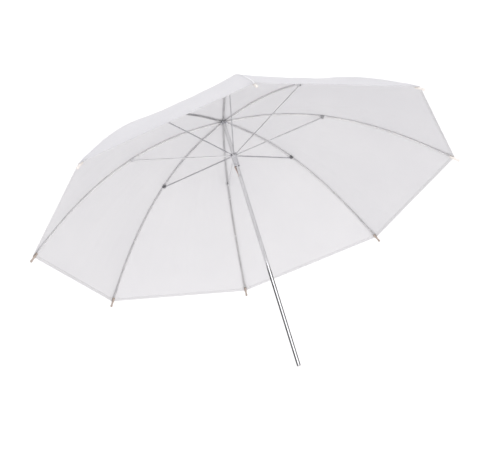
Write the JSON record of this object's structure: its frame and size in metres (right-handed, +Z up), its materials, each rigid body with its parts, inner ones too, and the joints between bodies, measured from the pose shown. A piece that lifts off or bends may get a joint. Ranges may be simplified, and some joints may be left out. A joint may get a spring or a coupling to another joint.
{
  "type": "photographic umbrella reflector",
  "caption": "Open folding shoot-through studio umbrella with a white cloth canopy on steel ribs, and a polished shaft for a lighting bracket.",
  "frame": {"origin": "on the shaft's axis, 60 mm from its free end, in the middle of the length that a stand's umbrella bracket grips", "axes": "+Y along the shaft from its free end to the crown, so the open side faces -Y; +Z up through the middle of a panel; +X to the right when looking into the open side"},
  "size_m": [0.8974, 0.6323, 0.8974],
  "materials": {
    "canopy_cloth": "thin translucent white nylon, plain weave",
    "rib_steel": "plated steel wire and channel, slightly worn",
    "polished_shaft": "polished plated steel tube",
    "runner_metal": "satin plated steel sleeve",
    "dark_metal": "dark plated steel",
    "catch_metal": "bronzed spring steel leaf",
    "tip_plastic": "pale tan moulded plastic",
    "white_plastic": "white moulded plastic"
  },
  "bodies": {
    "shaft_assembly": {"shaft": "polished_shaft", "shaft_end_plug": "polished_shaft", "finial": "white_plastic", "canopy_cap": "white_plastic", "crown_notch": "dark_metal", "crown_wire_ring": "rib_steel", "catch_pin": "rib_steel", "runner_stop_pin": "rib_steel"},
    "runner_assembly": {"runner": "runner_metal", "runner_wire_ring": "rib_steel"},
    "catch": {"catch_leaf": "catch_metal"},
    "rib_assembly_1": {"rib_1": "rib_steel", "rib_tip_1": "tip_plastic", "rib_clip_1": "dark_metal"},
    "stretcher_link_1": {"stretcher_1": "rib_steel"},
    "panel_1": {"canopy_panel_1": "canopy_cloth"},
    "rib_assembly_2": {"rib_2": "rib_steel", "rib_tip_2": "tip_plastic", "rib_clip_2": "dark_metal"},
    "stretcher_link_2": {"stretcher_2": "rib_steel"},
    "panel_2": {"canopy_panel_2": "canopy_cloth"},
    "rib_assembly_3": {"rib_3": "rib_steel", "rib_tip_3": "tip_plastic", "rib_clip_3": "dark_metal"},
    "stretcher_link_3": {"stretcher_3": "rib_steel"},
    "panel_3": {"canopy_panel_3": "canopy_cloth"},
    "rib_assembly_4": {"rib_4": "rib_steel", "rib_tip_4": "tip_plastic", "rib_clip_4": "dark_metal"},
    "stretcher_link_4": {"stretcher_4": "rib_steel"},
    "panel_4": {"canopy_panel_4": "canopy_cloth"},
    "rib_assembly_5": {"rib_5": "rib_steel", "rib_tip_5": "tip_plastic", "rib_clip_5": "dark_metal"},
    "stretcher_link_5": {"stretcher_5": "rib_steel"},
    "panel_5": {"canopy_panel_5": "canopy_cloth"},
    "rib_assembly_6": {"rib_6": "rib_steel", "rib_tip_6": "tip_plastic", "rib_clip_6": "dark_metal"},
    "stretcher_link_6": {"stretcher_6": "rib_steel"},
    "panel_6": {"canopy_panel_6": "canopy_cloth"},
    "rib_assembly_7": {"rib_7": "rib_steel", "rib_tip_7": "tip_plastic", "rib_clip_7": "dark_metal"},
    "stretcher_link_7": {"stretcher_7": "rib_steel"},
    "panel_7": {"canopy_panel_7": "canopy_cloth"},
    "rib_assembly_8": {"rib_8": "rib_steel", "rib_tip_8": "tip_plastic", "rib_clip_8": "dark_metal"},
    "stretcher_link_8": {"stretcher_8": "rib_steel"},
    "panel_8": {"canopy_panel_8": "canopy_cloth"}
  },
  "joints": [
    {"name": "canopy_fold", "type": "hinge", "parent": "shaft_assembly", "child": "rib_assembly_1", "pos_m": [0.0061, 0.5403, 0.00253], "axis": [0.3827, 0, -0.9239], "range_deg": [0, 63], "deforming": ["catch_leaf"]},
    {"name": "rib_pivot_2", "type": "hinge", "parent": "shaft_assembly", "child": "rib_assembly_2", "pos_m": [0.00253, 0.5403, 0.0061], "axis": [0.9239, 0, -0.3827], "range_deg": [0, 63]},
    {"name": "rib_pivot_3", "type": "hinge", "parent": "shaft_assembly", "child": "rib_assembly_3", "pos_m": [-0.00253, 0.5403, 0.0061], "axis": [0.9239, 0, 0.3827], "range_deg": [0, 63]},
    {"name": "rib_pivot_4", "type": "hinge", "parent": "shaft_assembly", "child": "rib_assembly_4", "pos_m": [-0.0061, 0.5403, 0.00253], "axis": [0.3827, 0, 0.9239], "range_deg": [0, 63]},
    {"name": "rib_pivot_5", "type": "hinge", "parent": "shaft_assembly", "child": "rib_assembly_5", "pos_m": [-0.0061, 0.5403, -0.00253], "axis": [-0.3827, 0, 0.9239], "range_deg": [0, 63]},
    {"name": "rib_pivot_6", "type": "hinge", "parent": "shaft_assembly", "child": "rib_assembly_6", "pos_m": [-0.00253, 0.5403, -0.0061], "axis": [-0.9239, 0, 0.3827], "range_deg": [0, 63]},
    {"name": "rib_pivot_7", "type": "hinge", "parent": "shaft_assembly", "child": "rib_assembly_7", "pos_m": [0.00253, 0.5403, -0.0061], "axis": [-0.9239, 0, -0.3827], "range_deg": [0, 63]},
    {"name": "rib_pivot_8", "type": "hinge", "parent": "shaft_assembly", "child": "rib_assembly_8", "pos_m": [0.0061, 0.5403, -0.00253], "axis": [-0.3827, 0, -0.9239], "range_deg": [0, 63]},
    {"name": "stretcher_pivot_1", "type": "hinge", "parent": "rib_assembly_1", "child": "stretcher_link_1", "pos_m": [0.20397, 0.49569, 0.08449], "axis": [0.3827, 0, -0.9239], "range_deg": [-126, 0]},
    {"name": "stretcher_pivot_2", "type": "hinge", "parent": "rib_assembly_2", "child": "stretcher_link_2", "pos_m": [0.08449, 0.49569, 0.20397], "axis": [0.9239, 0, -0.3827], "range_deg": [-126, 0]},
    {"name": "stretcher_pivot_3", "type": "hinge", "parent": "rib_assembly_3", "child": "stretcher_link_3", "pos_m": [-0.08449, 0.49569, 0.20397], "axis": [0.9239, 0, 0.3827], "range_deg": [-126, 0]},
    {"name": "stretcher_pivot_4", "type": "hinge", "parent": "rib_assembly_4", "child": "stretcher_link_4", "pos_m": [-0.20397, 0.49569, 0.08449], "axis": [0.3827, 0, 0.9239], "range_deg": [-126, 0]},
    {"name": "stretcher_pivot_5", "type": "hinge", "parent": "rib_assembly_5", "child": "stretcher_link_5", "pos_m": [-0.20397, 0.49569, -0.08449], "axis": [-0.3827, 0, 0.9239], "range_deg": [-126, 0]},
    {"name": "stretcher_pivot_6", "type": "hinge", "parent": "rib_assembly_6", "child": "stretcher_link_6", "pos_m": [-0.08449, 0.49569, -0.20397], "axis": [-0.9239, 0, 0.3827], "range_deg": [-126, 0]},
    {"name": "stretcher_pivot_7", "type": "hinge", "parent": "rib_assembly_7", "child": "stretcher_link_7", "pos_m": [0.08449, 0.49569, -0.20397], "axis": [-0.9239, 0, -0.3827], "range_deg": [-126, 0]},
    {"name": "stretcher_pivot_8", "type": "hinge", "parent": "rib_assembly_8", "child": "stretcher_link_8", "pos_m": [0.20397, 0.49569, -0.08449], "axis": [-0.3827, 0, -0.9239], "range_deg": [-126, 0]},
    {"name": "runner_pivot", "type": "hinge", "parent": "stretcher_link_1", "child": "runner_assembly", "pos_m": [0.0061, 0.45109, 0.00253], "axis": [0.3827, 0, -0.9239], "range_deg": [0, 63]},
    {"name": "panel_fold_1", "type": "hinge", "parent": "rib_assembly_1", "child": "panel_1", "pos_m": [0.00123, 0.53724, 0.00123], "axis": [0.6153, 0.4927, 0.6153], "range_deg": [0, 46.15], "deforming": ["canopy_panel_1"]},
    {"name": "panel_fold_2", "type": "hinge", "parent": "rib_assembly_2", "child": "panel_2", "pos_m": [0, 0.53724, 0.00173], "axis": [0, 0.4927, 0.8702], "range_deg": [0, 46.15], "deforming": ["canopy_panel_2"]},
    {"name": "panel_fold_3", "type": "hinge", "parent": "rib_assembly_3", "child": "panel_3", "pos_m": [-0.00123, 0.53724, 0.00123], "axis": [-0.6153, 0.4927, 0.6153], "range_deg": [0, 46.15], "deforming": ["canopy_panel_3"]},
    {"name": "panel_fold_4", "type": "hinge", "parent": "rib_assembly_4", "child": "panel_4", "pos_m": [-0.00173, 0.53724, 0], "axis": [-0.8702, 0.4927, 0], "range_deg": [0, 46.15], "deforming": ["canopy_panel_4"]},
    {"name": "panel_fold_5", "type": "hinge", "parent": "rib_assembly_5", "child": "panel_5", "pos_m": [-0.00123, 0.53724, -0.00123], "axis": [-0.6153, 0.4927, -0.6153], "range_deg": [0, 46.15], "deforming": ["canopy_panel_5"]},
    {"name": "panel_fold_6", "type": "hinge", "parent": "rib_assembly_6", "child": "panel_6", "pos_m": [0, 0.53724, -0.00173], "axis": [0, 0.4927, -0.8702], "range_deg": [0, 46.15], "deforming": ["canopy_panel_6"]},
    {"name": "panel_fold_7", "type": "hinge", "parent": "rib_assembly_7", "child": "panel_7", "pos_m": [0.00123, 0.53724, -0.00123], "axis": [0.6153, 0.4927, -0.6153], "range_deg": [0, 46.15], "deforming": ["canopy_panel_7"]},
    {"name": "panel_fold_8", "type": "hinge", "parent": "rib_assembly_8", "child": "panel_8", "pos_m": [0.00173, 0.53724, 0], "axis": [0.8702, 0.4927, 0], "range_deg": [0, 46.15], "deforming": ["canopy_panel_8"]},
    {"name": "catch_press", "type": "hinge", "parent": "shaft_assembly", "child": "catch", "pos_m": [-0.0015, 0.39699, 0], "axis": [0, 0, -1], "range_deg": [0, 9.5], "stiffness_Nm_per_rad": 0.4}
  ],
  "couplings": [
    {"joint": "rib_pivot_2", "follows": "canopy_fold", "ratio": 1},
    {"joint": "rib_pivot_3", "follows": "canopy_fold", "ratio": 1},
    {"joint": "rib_pivot_4", "follows": "canopy_fold", "ratio": 1},
    {"joint": "rib_pivot_5", "follows": "canopy_fold", "ratio": 1},
    {"joint": "rib_pivot_6", "follows": "canopy_fold", "ratio": 1},
    {"joint": "rib_pivot_7", "follows": "canopy_fold", "ratio": 1},
    {"joint": "rib_pivot_8", "follows": "canopy_fold", "ratio": 1},
    {"joint": "stretcher_pivot_1", "follows": "canopy_fold", "ratio": -2},
    {"joint": "stretcher_pivot_2", "follows": "canopy_fold", "ratio": -2},
    {"joint": "stretcher_pivot_3", "follows": "canopy_fold", "ratio": -2},
    {"joint": "stretcher_pivot_4", "follows": "canopy_fold", "ratio": -2},
    {"joint": "stretcher_pivot_5", "follows": "canopy_fold", "ratio": -2},
    {"joint": "stretcher_pivot_6", "follows": "canopy_fold", "ratio": -2},
    {"joint": "stretcher_pivot_7", "follows": "canopy_fold", "ratio": -2},
    {"joint": "stretcher_pivot_8", "follows": "canopy_fold", "ratio": -2},
    {"joint": "runner_pivot", "follows": "canopy_fold", "ratio": 1},
    {"joint": "panel_fold_1", "follows": "canopy_fold", "ratio": 0.73233},
    {"joint": "panel_fold_2", "follows": "canopy_fold", "ratio": 0.73233},
    {"joint": "panel_fold_3", "follows": "canopy_fold", "ratio": 0.73233},
    {"joint": "panel_fold_4", "follows": "canopy_fold", "ratio": 0.73233},
    {"joint": "panel_fold_5", "follows": "canopy_fold", "ratio": 0.73233},
    {"joint": "panel_fold_6", "follows": "canopy_fold", "ratio": 0.73233},
    {"joint": "panel_fold_7", "follows": "canopy_fold", "ratio": 0.73233},
    {"joint": "panel_fold_8", "follows": "canopy_fold", "ratio": 0.73233}
  ]
}
